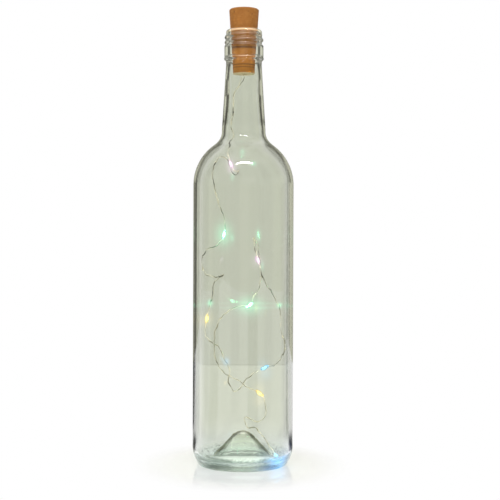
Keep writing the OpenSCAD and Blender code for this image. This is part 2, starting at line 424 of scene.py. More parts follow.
# Light gathered in the thick base: place in millimetres, squeeze, radius in millimetres, share, colour
POOLS = (
    ((26.0, -18.0, 2.0), EVEN, 5.5, 0.55, LightColour.BLUE.glow),
    ((26.0, -18.0, 2.0), EVEN, 12.0, 0.14, (0.0, 0.22, 0.9, 1.0)),
    ((0.0, -4.5, 24.0), (0.5, 0.5, 2.0), 1.2, 0.50, (1.0, 1.0, 0.95, 1.0)),
)

# Reflections of the lights in the glass: place in millimetres, colour, radius, strength, upright squeeze
GLINTS = (
    ((-24.1, -28.7, 122.1), LightColour.GREEN, 2.2, 0.42, 1.0),
    ((26.8, -26.2, 120.6), LightColour.GREEN, 2.2, 0.42, 1.3),
    ((-0.7, -29.3, 232.0), LightColour.GREEN, 1.8, 0.16, 0.35),
    ((7.4, -33.0, 222.9), LightColour.GREEN, 1.9, 0.24, 1.0),
    ((-7.7, -35.6, 213.2), LightColour.GREEN, 1.7, 0.13, 0.6),
    ((-8.3, -34.3, 219.5), LightColour.PINK, 2.8, 0.20, 0.8),
    ((-7.7, -36.6, 169.5), LightColour.GREEN, 1.3, 0.16, 0.5),
    ((13.9, -34.7, 149.3), LightColour.GREEN, 1.4, 0.16, 0.45),
    ((9.6, -36.2, 119.5), LightColour.YELLOW, 1.2, 0.12, 0.4),
    ((-11.8, -35.6, 80.4), LightColour.BLUE, 2.2, 0.20, 0.8),
    ((11.0, -35.9, 171.5), LightColour.GREEN, 1.8, 0.22, 0.45),
)


@dataclass(frozen=True)
class GlassPoint:
    """Where a point lies on the bottle, in metres, and how far the glass there turns from the viewer.

    Middle is 1 where the glass faces the viewer.
    """

    across: Signal
    along: Signal
    height: Signal
    out: Signal
    turn: Signal
    middle: Signal


@dataclass(frozen=True)
class BottleGlass(Finish):
    """Clear glass with a faint grey-green tint, greener in the thick base, lit by the lights near it.

    Names that end in _z, _out and _along are ramps and bands of height, of distance from the axis and of
    depth, in metres, and the patches' left and right ones go across. Those in _turn say how far the glass
    turns from the viewer, 0 to 1, and crest_slope how far its surface looks upwards.
    """

    lamps: tuple[Lamp, ...] = ()
    base: Colour = (0.93, 0.965, 0.93, 1.0)
    wall: Colour = (0.81, 0.83, 0.75, 1.0)
    finish: Colour = (0.93, 0.94, 0.88, 1.0)
    # edge is painted shade: grey lines along the glass where it turns from the viewer, above the heel
    edge: Colour = (0.60, 0.62, 0.59, 1.0)
    # base_shade is painted shade: near-black lines at the sides of the base and, as the hill, round the
    # punt
    base_shade: Colour = (0.05, 0.06, 0.04, 1.0)
    # speck colours the foot's specks and is also the painted shade of the heel band and the patches
    speck: Colour = (0.12, 0.15, 0.12, 1.0)
    foot: Colour = (0.88, 0.95, 0.90, 1.0)
    wall_z: Ramp = (0.006, 0.034)
    finish_z: Ramp = (0.290, 0.302)
    # Painted light: the tint clears to white where the glass starts to turn from the viewer
    side_turn: Ramp = (0.36, 0.58)
    side_share: float = 0.85
    edge_turn: Ramp = (0.60, 0.66)
    edge_z: Ramp = (0.012, 0.030)
    base_shade_turn: Ramp = (0.86, 0.96)
    base_shade_z: Band = (0.004, 0.008, 0.024, 0.030)
    base_shade_share: float = 0.38
    # The hill is painted shade in the base_shade colour: a dark line round the punt's dome
    hill_turn: Ramp = (0.52, 0.66)
    hill_out: Ramp = (0.030, 0.026)
    hill_z: Band = (0.007, 0.011, 0.0212, 0.0232)
    middle_turn: Ramp = (0.5, 0.15)
    foot_z: Ramp = (0.006, 0.003)
    foot_clear: float = 0.5
    speck_grain: float = 520.0
    speck_size: Ramp = (0.575, 0.605)
    speck_z: Ramp = (0.012, 0.007)
    speck_out: Ramp = (0.022, 0.026)
    speck_share: float = 0.55
    # Painted shade: a dark band round the heel, stronger at the front than at the back
    heel_shade_z: Band = (0.0030, 0.0048, 0.0068, 0.0085)
    heel_shade_out: Ramp = (0.024, 0.027)
    heel_shade_along: Ramp = (-0.012, 0.0)
    heel_shade_front: float = 0.45
    heel_shade_back: float = 0.05
    # The patches are painted shade: dark patches low on the front of the foot
    patch_left: Band = (-0.028, -0.022, -0.010, -0.004)
    patch_right: Band = (0.010, 0.014, 0.018, 0.022)
    patch_right_share: float = 0.7
    patch_along: Ramp = (-0.005, -0.015)
    patch_z: Band = (0.0010, 0.0022, 0.0045, 0.0065)
    patch_share: float = 0.80
    heel_light: Colour = (0.042, 0.056, 0.048, 1.0)
    heel_z: Ramp = (0.013, 0.006)
    heel_least: float = 0.30
    foot_light: Colour = (0.075, 0.105, 0.098, 1.0)
    foot_light_z: Ramp = (0.0045, 0.0020)
    mound_light: Colour = (0.052, 0.058, 0.048, 1.0)
    mound_out: Ramp = (0.028, 0.020)
    mound_z: Band = (0.0115, 0.0150, 0.0165, 0.0215)
    lip_light: Colour = (0.36, 0.29, 0.19, 1.0)
    lip_z: Band = (0.3228, 0.3236, 0.3244, 0.3248)
    lip_turn: Ramp = (0.40, 0.22)
    crest_light: Colour = (0.85, 0.80, 0.72, 1.0)
    crest_z: Band = (0.3015, 0.3019, 0.3222, 0.3226)
    crest_slope: Band = (0.06, 0.16, 0.40, 0.55)
    crest_wide_turn: Ramp = (0.26, 0.14)
    crest_thin_turn: Ramp = (0.11, 0.045)
    crest_wide_share: float = 0.22
    broad_wave: Wave = (60.0, 2.0, 0.06, 0.50)
    narrow_wave: Wave = (230.0, 1.0, 0.03, 0.22)
    calm_z: Band = (0.234, 0.241, 0.250, 0.257)
    calm_share: float = 0.75
    stipple_grain: float = 700.0
    stipple_z: Ramp = (0.008, 0.002)
    stipple_share: float = 1.2
    relief_depth: float = 0.0003
    index: float = 1.5
    beside_share: float = 0.4
    streak_long: float = 0.05
    streak_reach: float = 0.2

    def glow(self, graph: Graph) -> Signal:
        """Adds up the light that the lamps throw on the glass in front, behind and beside them.

        Args:
            graph: The material's nodes.

        Returns:
            The colour of that light.
        """
        total = BLACK
        for at, squeeze, reach, share, colour in POOLS:
            total = graph.mix(graph.spot(Vector(at) * MM, reach * MM, squeeze) * share, total, colour)
        for at, colour, reach, strength, upright in GLINTS:
            glint = graph.spot(Vector(at) * MM, reach * MM, (1.0, 1.0, upright))
            total = graph.lit(total, glint * strength, colour.glow)
        for lamp in self.lamps[:-1]:
            x, y, z = lamp.squeeze
            place, reach = lamp.place, lamp.colour.reach
            share = graph.spot(place, reach, (x, 0.0, z))
            share = share + self.beside_share * graph.spot(place, reach, (0.0, y, z))
            if lamp.streak:
                for line_x, line_y in ((self.streak_long, 0.0), (0.0, self.streak_long)):
                    streak = graph.spot(place, reach * self.streak_reach, (line_x, line_y, 1.0))
                    share = share + lamp.streak * streak
            total = graph.lit(total, share * lamp.colour.strength, lamp.colour.glow)
        return total

    def tint(self, graph: Graph, at: GlassPoint) -> Signal:
        """Colours the walls and the foot, with painted light and painted shade where the glass turns from
        the viewer, painted shade over the base, round the heel and on the foot, and the foot's specks.

        Args:
            graph: The material's nodes.
            at: The point on the bottle.

        Returns:
            The tint of the glass.
        """
        speck = graph.noise(self.speck_grain, 1.0).step(*self.speck_size) * at.height.step(*self.speck_z)
        heel_shade = at.height.band(*self.heel_shade_z) * at.out.step(*self.heel_shade_out)
        patch = at.across.band(*self.patch_right) * self.patch_right_share
        patch = at.across.band(*self.patch_left) + patch
        patch = patch * at.along.step(*self.patch_along) * at.height.band(*self.patch_z)
        layers = (
            (at.height.step(*self.finish_z), self.finish),
            # Painted light: clear white where the glass starts to turn from the viewer
            (at.turn.step(*self.side_turn) * self.side_share, WHITE),
            # Painted shade: grey edges where the glass turns from the viewer
            (at.turn.step(*self.edge_turn) * at.height.step(*self.edge_z), self.edge),
            # Painted shade: near-black lines at the base's sides and round the punt's dome
            (at.turn.step(*self.base_shade_turn) * at.height.band(*self.base_shade_z) * self.base_shade_share, self.base_shade),
            (at.turn.step(*self.hill_turn) * at.out.step(*self.hill_out) * at.height.band(*self.hill_z),
             self.base_shade),
            (at.height.step(*self.foot_z) * (1.0 - self.foot_clear * at.middle), self.foot),
            (speck * at.out.step(*self.speck_out) * self.speck_share, self.speck),
            # Painted shade: the dark band round the heel
            (heel_shade * between(self.heel_shade_front, self.heel_shade_back, at.along.step(*self.heel_shade_along)),
             self.speck),
            # Painted shade: dark patches low on the front of the foot
            (patch * self.patch_share, self.speck),
        )
        tint = graph.mix(at.height.step(*self.wall_z), self.base, self.wall)
        for share, colour in layers:
            tint = graph.mix(share, tint, colour)
        return tint

    def gathered(self, graph: Graph, at: GlassPoint) -> Signal:
        """Brightens the glass where the room's light gathers: heel, foot, punt, lip and thread.

        Args:
            graph: The material's nodes.
            at: The point on the bottle.

        Returns:
            The colour of that light.
        """
        heel = at.height.step(*self.heel_z) * (self.heel_least + (1.0 - self.heel_least) * at.middle)
        light = graph.mix(heel, BLACK, self.heel_light)
        light = graph.mix(at.height.step(*self.foot_light_z) * at.middle, light, self.foot_light)
        mound = at.out.step(*self.mound_out) * at.height.band(*self.mound_z)
        light = graph.lit(light, mound, self.mound_light)
        lip = at.height.band(*self.lip_z) * at.turn.step(*self.lip_turn)
        light = graph.mix(lip, light, self.lip_light)
        slope = graph.signal("ShaderNodeNewGeometry", output="Normal").parts()[2]
        crest = at.height.band(*self.crest_z) * slope.band(*self.crest_slope)
        crest = crest * between(at.turn.step(*self.crest_thin_turn), at.turn.step(*self.crest_wide_turn),
                                self.crest_wide_share)
        return graph.mix(crest, light, self.crest_light)

    def relief(self, graph: Graph, at: GlassPoint) -> Signal:
        """Makes the glass a little uneven: upright waves, calm at the shoulder, and a stippled foot.

        Args:
            graph: The material's nodes.
            at: The point on the bottle.

        Returns:
            The height of the relief.
        """
        broad, narrow = (
            graph.noise(scale, detail, place=graph.stretched((1.0, 1.0, upright))) * share
            for scale, detail, upright, share in (self.broad_wave, self.narrow_wave))
        ripple = (broad + narrow) * (1.0 - self.calm_share * at.height.band(*self.calm_z))
        stipple = graph.noise(self.stipple_grain, 1.0) * at.height.step(*self.stipple_z)
        return ripple + stipple * self.stipple_share

    def shade(self, graph: Graph) -> Signal:
        """Builds the glass.

        Args:
            graph: The material's nodes.

        Returns:
            The surface shader.
        """
        across, along, height = graph.place().parts()
        out = graph.stretched((1.0, 1.0, 0.0)).vector("LENGTH", output="Value")
        turn = graph.signal("ShaderNodeLayerWeight", None, {"Blend": 0.5}, output="Facing")
        at = GlassPoint(across, along, height, out, turn, turn.step(*self.middle_turn))
        return graph.principled({
            "Base Color": self.tint(graph, at), "Roughness": 0.0, "IOR": self.index,
            "Transmission Weight": 1.0,
            "Emission Color": graph.mix(1.0, self.glow(graph), self.gathered(graph, at), "ADD"),
            "Emission Strength": 1.0, "Normal": graph.bump(self.relief(graph, at), self.relief_depth),
        })


# Bands of the cork, as heights in metres, a share and a colour. Those that start at 0 have no lower end.
# Most paint light and shade where the cork sits in the glass; under_seam only makes a band below the seam
# darker
CORK_BANDS = {
    # Painted light: a deeper, brighter orange on the cork under the lip
    "painted_light_behind_glass": ((0.0, 0.1, 0.3175, 0.3245), 0.50, linear(172, 108, 6)),
    # Painted shade: the cork behind the thread, darker
    "painted_shade_under_thread": ((0.3100, 0.3125, 0.3205, 0.3245), 0.45, linear(96, 52, 14)),
    "under_seam": ((0.2990, 0.3020, 0.3090, 0.3100), 0.22, linear(120, 70, 24)),
    # Painted shade: two thin dark lines low on the cork
    "painted_upper_shade_line": ((0.2978, 0.2982, 0.2984, 0.2990), 0.80, linear(74, 34, 2)),
    "painted_lower_shade_line": ((0.2958, 0.2962, 0.2964, 0.2970), 0.55, linear(74, 34, 2)),
    # Painted shade: a dark line just below the shells' real seam
    "seam": ((0.3092, 0.3106, 0.3112, 0.3118), 0.80, linear(74, 34, 2)),
    # Painted light: a pale cream end face
    "painted_light_end_face": ((0.0, 0.1, 0.29155, 0.29270), 0.85, linear(222, 206, 172)),
}


@dataclass(frozen=True)
class CorkFinish(Finish):
    """Moulded cork look: fine granules in close browns, small pits and short pores.

    Names that end in _mix are a level of the noise and the gain over it. Its bands add painted light and
    painted shade where the cork sits in the glass.
    """

    tone: Colour = linear(157, 100, 38)
    dark: Colour = linear(120, 70, 24)
    pale: Colour = linear(180, 125, 58)
    pore: Colour = linear(92, 52, 22)
    granules: float = 620.0
    granule_mix: Point = (0.35, 0.55)
    cloud_mix: Point = (0.45, 0.9)
    fine_mix: Point = (0.5, 0.5)
    layer_mix: Point = (0.42, 0.9)
    layer_squeeze: Triple = (0.35, 0.35, 3.0)
    pore_squeeze: Triple = (1.0, 1.0, 0.4)
    pore_size: Ramp = (0.66, 0.74)
    pore_share: float = 0.75
    roughness: float = 0.62
    relief_depth: float = 0.00012
    relief_share: float = 0.6

    def shade(self, graph: Graph) -> Signal:
        """Builds the cork.

        Args:
            graph: The material's nodes.

        Returns:
            The surface shader.
        """
        granule, edge = graph.outputs(
            "ShaderNodeTexVoronoi", ("Color", "Distance"), {"feature": "F1"},
            {"Vector": graph.place(), "Scale": self.granules, "Randomness": 1.0})
        grey = graph.signal("ShaderNodeSeparateColor", None, {0: granule})
        cloud = graph.noise(170.0, 3.0, 0.6)
        fine = graph.noise(2600.0, 2.0, 0.6)
        layer = graph.noise(260.0, 2.0, 0.6, place=graph.stretched(self.layer_squeeze))
        pore = graph.noise(900.0, 2.0, 0.5, place=graph.stretched(self.pore_squeeze))
        pit = pore.step(*self.pore_size)
        colour = graph.mix(grey.over(*self.granule_mix), self.tone, self.pale)
        colour = graph.mix(cloud.over(*self.cloud_mix) + fine.over(*self.fine_mix), colour, self.dark)
        colour = graph.mix(layer.over(*self.layer_mix), colour, self.dark)
        colour = graph.mix(pit * self.pore_share, colour, self.pore)
        # The bands add painted light and painted shade where the cork sits in the glass
        for heights, share, tint in CORK_BANDS.values():
            colour = graph.mix(graph.height().band(*heights) * share, colour, tint)
        return graph.principled({
            "Base Color": colour, "Roughness": self.roughness + 0.2 * cloud, "Specular IOR Level": 0.35,
            "Normal": graph.bump((edge + fine) * 0.5 - pit, self.relief_depth, self.relief_share),
        })


@dataclass(frozen=True)
class PlasticFinish(Finish):
    """Moulded plastic with a faint grain and a faint cloud in its colour."""

    colour: Colour
    roughness: float
    metallic: float = 0.0
    grain: float = 2400.0
    cloud_grain: float = 200.0
    cloud_detail: float = 2.0
    cloud_share: float = 0.25
    cloud_tone: Point = (1.4, 0.01)
    unevenness: float = 0.15
    relief_depth: float = 0.00002

    def shade(self, graph: Graph) -> Signal:
        """Builds the plastic.

        Args:
            graph: The material's nodes.

        Returns:
            The surface shader.
        """
        speck = graph.noise(self.grain, 2.0)
        cloud = graph.noise(self.cloud_grain, self.cloud_detail) * self.cloud_share
        return graph.principled({
            "Base Color": graph.mix(cloud, self.colour, toned(self.colour, *self.cloud_tone)),
            "Metallic": self.metallic, "Roughness": self.roughness + speck.over(0.5, self.unevenness),
            "Normal": graph.bump(speck, self.relief_depth),
        })


@dataclass(frozen=True)
class MetalFinish(PlasticFinish):
    """Bare metal with a fine, slightly uneven polish, built like the plastic with other values."""

    metallic: float = 1.0
    grain: float = 3000.0
    cloud_grain: float = 150.0
    cloud_detail: float = 3.0
    cloud_share: float = 0.3
    cloud_tone: Point = (0.7, 0.0)
    unevenness: float = 0.12
    relief_depth: float = 0.00001


@dataclass(frozen=True)
class WireFinish(Finish):
    """Fine enamelled wire whose painted highlight and painted shade come and go along it, with painted
    light from the lights near it.
    """

    shade_bias: float
    lamps: tuple[Lamp, ...]
    # bright is the wire's painted highlight and painted_shade its painted shade; the glow near the lights
    # is painted light
    bright: Colour = (0.95, 0.90, 0.74, 1.0)
    painted_shade: Colour = (0.045, 0.045, 0.03, 1.0)
    # The painted shade turns paler towards the bottom
    pale_low: Colour = (0.34, 0.32, 0.23, 1.0)
    pale_low_z: Ramp = (0.16, 0.07)
    pale_low_share: float = 0.75
    shine: Ramp = (-0.06, 0.10)
    lit_reach: float = 2.1
    lit_share: float = 6.0

    def shade(self, graph: Graph) -> Signal:
        """Builds the wire.

        Args:
            graph: The material's nodes.

        Returns:
            The surface shader.
        """
        stretch = graph.noise(120.0, 2.0, 0.6)
        painted_shade = graph.mix(graph.height().step(*self.pale_low_z) * self.pale_low_share, self.painted_shade, self.pale_low)
        total = BLACK
        for lamp in self.lamps:
            near = graph.spot(lamp.place, lamp.colour.reach * self.lit_reach)
            near = near * (lamp.colour.strength * self.lit_share)
            total = graph.lit(total, near, toned(lamp.colour.glow, 0.6, 0.4))
        # Painted highlight and painted shade take turns along the wire
        share = (stretch + (0.35 * self.shade_bias - 0.5)).step(*self.shine)
        return graph.principled({
            "Base Color": graph.mix(share, self.bright, painted_shade),
            "Metallic": 0.25, "Roughness": 0.3 + 0.2 * stretch,
            "Emission Color": total, "Emission Strength": 1.0,
        })


@dataclass(frozen=True)
class DropFinish(Finish):
    """Clear resin drop, tinted by its light."""

    colour: LightColour

    def shade(self, graph: Graph) -> Signal:
        """Builds the resin.

        Args:
            graph: The material's nodes.

        Returns:
            The surface shader.
        """
        tint = self.colour.tint
        return graph.principled({
            "Base Color": graph.mix(graph.noise(700.0, 2.0), tint, toned(tint, 0.5, 0.5)),
            "Roughness": 0.05, "IOR": 1.45, "Transmission Weight": 1.0,
            "Emission Color": self.colour.glow, "Emission Strength": 0.22,
        })


@dataclass(frozen=True)
class ChipFinish(Finish):
    """Lit chip in the middle of a drop."""

    colour: LightColour
    share: float

    def shade(self, graph: Graph) -> Signal:
        """Builds the light.

        Args:
            graph: The material's nodes.

        Returns:
            The surface shader.
        """
        strength = max(self.colour.core)
        return graph.principled({
            "Base Color": (0.8, 0.8, 0.8, 1.0), "Roughness": 0.4,
            "Emission Color": toned(self.colour.core, 1 / strength),
            "Emission Strength": strength * self.share,
        })


def new_piece(name: str, verts: list, faces: list[Face], finish: Finish,
              second: tuple[Finish, int] | None = None) -> bpy.types.Object:
    """Makes a smooth mesh piece.

    Args:
        name: The piece's name.
        verts: Its points in the part's frame, in metres.
        faces: Its faces.
        finish: Its finish.
        second: Another finish and the number of the face that it starts from.

    Returns:
        The new object, linked into the scene.
    """
    mesh = bpy.data.meshes.new(name)
    mesh.from_pydata([tuple(v) for v in verts], [], faces)
    build = bmesh.new()
    build.from_mesh(mesh)
    bmesh.ops.recalc_face_normals(build, faces=build.faces)
    if build.calc_volume(signed=True) < 0:
        bmesh.ops.reverse_faces(build, faces=build.faces)
    build.to_mesh(mesh)
    build.free()
    mesh.polygons.foreach_set("use_smooth", [True] * len(mesh.polygons))
    mesh.materials.append(finish.material())
    if second:
        mesh.materials.append(second[0].material())
        for face in mesh.polygons[second[1]:]:
            face.material_index = 1
    piece = bpy.data.objects.new(name, mesh)
    bpy.context.scene.collection.objects.link(piece)
    return piece


def arc(centre: Point, radius: float, start: float, end: float, steps: int) -> list[Point]:
    """Returns points along a circular arc.

    Args:
        centre: The arc's centre.
        radius: Its radius.
        start: First angle in degrees.
        end: Last angle in degrees.
        steps: Number of chords.

    Returns:
        The points, first and last included.
    """
    angles = [math.radians(start + (end - start) * i / steps) for i in range(steps + 1)]
    return [(centre[0] + radius * math.cos(a), centre[1] + radius * math.sin(a)) for a in angles]


def bend(a: Point, b: Point, c: Point, steps: int) -> list[Point]:
    """Returns points of a curve that leaves a towards b and arrives at c from b.

    Args:
        a: Start.
        b: Where both end tangents meet.
        c: End.
        steps: Number of chords.

    Returns:
        The points, first and last included.
    """
    shares = [i / steps for i in range(steps + 1)]
    return [tuple((1 - t) ** 2 * a[k] + 2 * t * (1 - t) * b[k] + t * t * c[k] for k in (0, 1))
            for t in shares]


def line(a: Point, b: Point, steps: int) -> list[Point]:
    """Returns points along a straight line, without its last point.

    Args:
        a: Start.
        b: End.
        steps: Number of chords.

    Returns:
        The points.
    """
    return [tuple(a[k] + (b[k] - a[k]) * i / steps for k in (0, 1)) for i in range(steps)]


def spline(before: Number, a: Number, b: Number, after: Number, t: float) -> Number:
    """Returns a value on the smooth curve through four values.

    Args:
        before: The value before a.
        a: Where the stretch starts.
        b: Where it ends.
        after: The value after b.
        t: How far along the stretch, from 0 to 1.

    Returns:
        The value, a number or a vector like the others.
    """
    return 0.5 * (2 * a + (b - before) * t + (2 * before - 5 * a + 4 * b - after) * t * t
                  + (3 * a - before - 3 * b + after) * t**3)


def without_doubles(points: list[Point], least: float = 0.02) -> list[Point]:
    """Leaves out points that lie on the one before them.

    Args:
        points: An outline.
        least: The smallest distance kept, in the outline's unit.

    Returns:
        The outline without doubles.
    """
    kept = [points[0]]
    for point in points[1:]:
        if math.dist(point, kept[-1]) > least:
            kept.append(point)
    return kept


def circle(count: int) -> list[Point]:
    """Returns the points of a circle of radius 1."""
    return [(math.cos(math.tau * k / count), math.sin(math.tau * k / count)) for k in range(count)]


def belt(a: int, b: int, count: int) -> list[Face]:
    """Returns the faces between two rings of points.

    Args:
        a: Number of the first ring's first point.
        b: Number of the second ring's first point.
        count: Points in a ring.

    Returns:
        The faces.
    """
    return [(a + k, a + (k + 1) % count, b + (k + 1) % count, b + k) for k in range(count)]


def tube(first: int, rings: int, count: int) -> list[Face]:
    """Returns the faces along rings of points that follow one another.

    Args:
        first: Number of the first point.
        rings: How many rings.
        count: Points in a ring.

    Returns:
        The faces, open at both ends.
    """
    starts = [first + i * count for i in range(rings)]
    return [face for a, b in zip(starts, starts[1:]) for face in belt(a, b, count)]


def closed(rings: int, count: int) -> list[Face]:
    """Returns the faces of a solid whose points are a tip, rings and another tip.

    Args:
        rings: How many rings.
        count: Points in a ring.

    Returns:
        The faces.
    """
    last = 1 + (rings - 1) * count
    near = [(0, 1 + k, 1 + (k + 1) % count) for k in range(count)]
    far = [(last + k, last + (k + 1) % count, last + count) for k in range(count)]
    return near + tube(1, rings, count) + far


@dataclass
class GlassBottle:
    """The bottle, with sizes in millimetres as in the part's source."""

    height: float = 325.0
    body_d: float = 75.0
    ease: float = 0.04
    wall: float = 2.5
    shoulder_z: float = 209.0
    shoulder_r: float = 36.5
    neck_base_d: float = 32.6
    neck_fillet: float = 12.0
    neck_top_d: float = 26.7
    neck_even: float = 4.0
    neck_inside: tuple[Point, ...] = ((11.3, 41.0), (11.4, 24.0), (12.6, 11.0), (13.5, 4.5), (13.76, 1.5))
    band_d: float = 29.2
    band_h: float = 8.4
    band_drop: float = 11.8
    band_round: float = 0.6
    ring_d: float = 29.6
    ring_h: float = 2.8
    lip_d: float = 26.8
    lip_round: float = 2.1
    root_out: float = 0.15
    root_low: float = 0.35
    root_high: float = 0.8
    bore_h: float = 21.0
    mouth_r: float = 10.138
    mouth_round: float = 0.8
    notch: float = 0.3
    punt_h: float = 24.0
    punt_crown: float = 10.0
    punt_wall: float = 1.2
    punt_slope: float = 48.0
    flare_drop: float = 3.0
    heel_r: float = 24.0
    heel_z: float = 14.5
    foot_round: float = 3.0
    foot_land: float = 1.6
    floor_t: float = 4.6
    inner_heel: float = 8.0
    thread_pitch: float = 3.75
    thread_start: float = 313.6
    thread_turns: float = 2.0
    thread_rise: float = 1.1
    thread_half: float = 1.7
    thread_run: float = 0.12
    thread_shape: float = 1.3
    around: int = 192
    ease_rounds: int = 30
    ease_half: float = 6.5
    ease_step: float = 0.4

    @property
    def body_r(self) -> float:
        """Radius of the body."""
        return self.body_d / 2 - self.ease

    @property
    def neck_centre(self) -> Point:
        """Centre of the hollow curve between shoulder and neck.

        Returns:
            Its radius and height.
        """
        x = self.neck_base_d / 2 + self.neck_fillet
        reach = self.shoulder_r + self.neck_fillet
        across = x - self.body_r + self.shoulder_r
        return x, self.shoulder_z + math.sqrt(reach**2 - across**2)

    @property
    def turn(self) -> float:
        """Angle at which the shoulder curve meets the hollow curve, in degrees."""
        x, z = self.neck_centre
        return math.degrees(math.atan2(z - self.shoulder_z, x - self.body_r + self.shoulder_r))

    def punt(self, crown_r: float, low: float) -> tuple[Point, Point]:
        """Works out the slope of the punt under its round crown.

        Args:
            crown_r: Radius of the crown.
            low: Height at which the slope ends.

        Returns:
            The slope's upper end, and the point that its line reaches at that height.
        """
        slope = math.radians(self.punt_slope)
        top = (crown_r * math.sin(slope), self.punt_h - self.punt_crown + crown_r * math.cos(slope))
        return top, (top[0] + (top[1] - low) / math.tan(slope), low)

    def eased(self, points: list[Point]) -> list[Point]:
        """Softens an outline where the shoulder turns into the neck.

        Args:
            points: The outline.

        Returns:
            The outline with its bend from one curve into the other spread out.
        """
        middle = self.shoulder_z + self.shoulder_r * math.sin(math.radians(self.turn))
        eased = [points[0]]
        for a, b in zip(points, points[1:]):
            near = abs((a[1] + b[1]) / 2 - middle) < self.ease_half
            eased += line(a, b, max(1, round(math.dist(a, b) / self.ease_step)) if near else 1)[1:] + [b]
        for _ in range(self.ease_rounds):
            before = list(eased)
            for i, (a, here, b) in enumerate(zip(before, before[1:], before[2:]), start=1):
                share = max(0.0, 1 - ((here[1] - middle) / self.ease_half) ** 2) ** 2 / 2
                eased[i] = tuple(here[k] + share * ((a[k] + b[k]) / 2 - here[k]) for k in (0, 1))
        return eased

    def outside(self) -> list[Point]:
        """Draws the outer outline.

        Returns:
            Its points, from under the base up to the lip.
        """
        body_r, neck_r, band_r, lip_r = self.body_r, self.neck_top_d / 2, self.band_d / 2, self.lip_d / 2
        heel_x = body_r - self.heel_r
        heel_reach, heel_rise = self.heel_r - self.foot_round, self.heel_z - self.foot_round
        heel_end = math.degrees(math.asin(heel_rise / heel_reach))
        foot_x = heel_x + math.sqrt(heel_reach**2 - heel_rise**2)
        slope_top, flare = self.punt(self.punt_crown, self.flare_drop)
        land_low = arc((foot_x - self.foot_land, self.foot_round), self.foot_round, 240, 270, 4)
        points = arc((0.0, self.punt_h - self.punt_crown), self.punt_crown, 90, 90 - self.punt_slope, 16)
        points += bend(slope_top, flare, land_low[0], 24) + land_low
        points += arc((foot_x, self.foot_round), self.foot_round, -90, -heel_end, 10)
        points += arc((heel_x, self.heel_z), self.heel_r, -heel_end, 0, 16)
        points += line((body_r, self.heel_z), (body_r, self.shoulder_z), 40)
        points += arc((body_r - self.shoulder_r, self.shoulder_z), self.shoulder_r, 0, self.turn, 40)

        finish_z = self.height - self.band_drop
        band_low = finish_z - self.band_h
        ring_z = band_low - self.ring_h
        even_z = ring_z - self.neck_even
        lean = math.degrees(math.atan2(self.neck_base_d / 2 - neck_r, even_z - self.neck_centre[1]))
        points += arc(self.neck_centre, self.neck_fillet, 180 + self.turn, 180 - lean, 24)
        points += line(points[-1], (neck_r, even_z), 16) + line((neck_r, even_z), (neck_r, ring_z), 3)
        ring_round = self.ring_h / 2
        points += arc((self.ring_d / 2 - ring_round, ring_z + ring_round), ring_round, -80, 70, 14)

        notch, band_round = self.notch, self.band_round
        points += [(band_r - notch, band_low)] + arc((band_r - notch, band_low + notch), notch, -40, 0, 3)
        points += line((band_r, band_low + 2 * notch), (band_r, finish_z - notch), 6)
        points += arc((band_r - band_round, finish_z - band_round), band_round, 0, 60, 4)

        root = (lip_r, finish_z + self.root_high)
        lip_z = self.height - self.lip_round
        points += line((lip_r + self.root_out, finish_z + self.root_low), root, 2)
        points += line(root, (lip_r, lip_z), 44)
        points += arc((lip_r - self.lip_round, lip_z), self.lip_round, 0, 90, 14)
        return self.eased(without_doubles(points))

    def inside(self) -> list[Point]:
        """Draws the inner outline.

        Returns:
            Its points, from the lip down to the middle of the floor.
        """
        inner_r = self.body_r - self.wall
        crown_r = self.punt_crown + self.punt_wall
        slope_top, flare = self.punt(crown_r, self.floor_t)
        mouth_z = self.height - self.mouth_round
        neck_z = self.neck_centre[1]
        narrow = [(self.mouth_r, self.height - self.lip_round - self.bore_h)]
        narrow += [(r, neck_z + z) for r, z in self.neck_inside]
        narrow += [(self.neck_base_d / 2 - self.wall, neck_z)]
        points = arc((self.mouth_r + self.mouth_round, mouth_z), self.mouth_round, 90, 180, 8)
        points += line((self.mouth_r, mouth_z), narrow[0], 10)
        points += self.softened(narrow, 6)
        points += arc(self.neck_centre, self.neck_fillet + self.wall, 180, 180 + self.turn, 24)
        points += arc((self.body_r - self.shoulder_r, self.shoulder_z),
                      self.shoulder_r - self.wall, self.turn, 0, 40)
        heel = (inner_r - self.inner_heel, self.floor_t + self.inner_heel)
        points += line((inner_r, self.shoulder_z), (inner_r, heel[1]), 40)
        points += arc(heel, self.inner_heel, 0, -90, 12)
        points += bend((heel[0], self.floor_t), flare, slope_top, 24)
        points += arc((0.0, self.punt_h - self.punt_crown), crown_r, 90 - self.punt_slope, 90, 16)
        return self.eased(without_doubles(points))

    @staticmethod
    def softened(corners: list[Point], steps: int) -> list[Point]:
        """Returns a smooth line through a few corners.

        Args:
            corners: The corners.
            steps: Chords for each stretch.

        Returns:
            The points.
        """
        ends = [corners[0], *corners, corners[-1]]
        points = []
        for stretch in zip(ends, ends[1:], ends[2:], ends[3:]):
            rows = list(zip(*stretch))
            points += [tuple(spline(*row, i / steps) for row in rows) for i in range(steps)]
        return points + [corners[-1]]

    def thread(self, z: float, angle: float) -> float:
        """Returns how far the thread stands out.

        Args:
            z: Height in millimetres.
            angle: Angle round the neck in degrees.

        Returns:
            The rise in millimetres.
        """
        rise = 0.0
        for lap in range(math.ceil(self.thread_turns) + 1):
            along = lap + angle / 360
            off = abs(z - self.thread_start - self.thread_pitch * along) / self.thread_half
            if off < 1 and along <= self.thread_turns:
                run = min(1.0, along / self.thread_run, (self.thread_turns - along) / self.thread_run)
                rise = max(rise, self.thread_rise * run * (1 - off * off) ** self.thread_shape)
        return rise

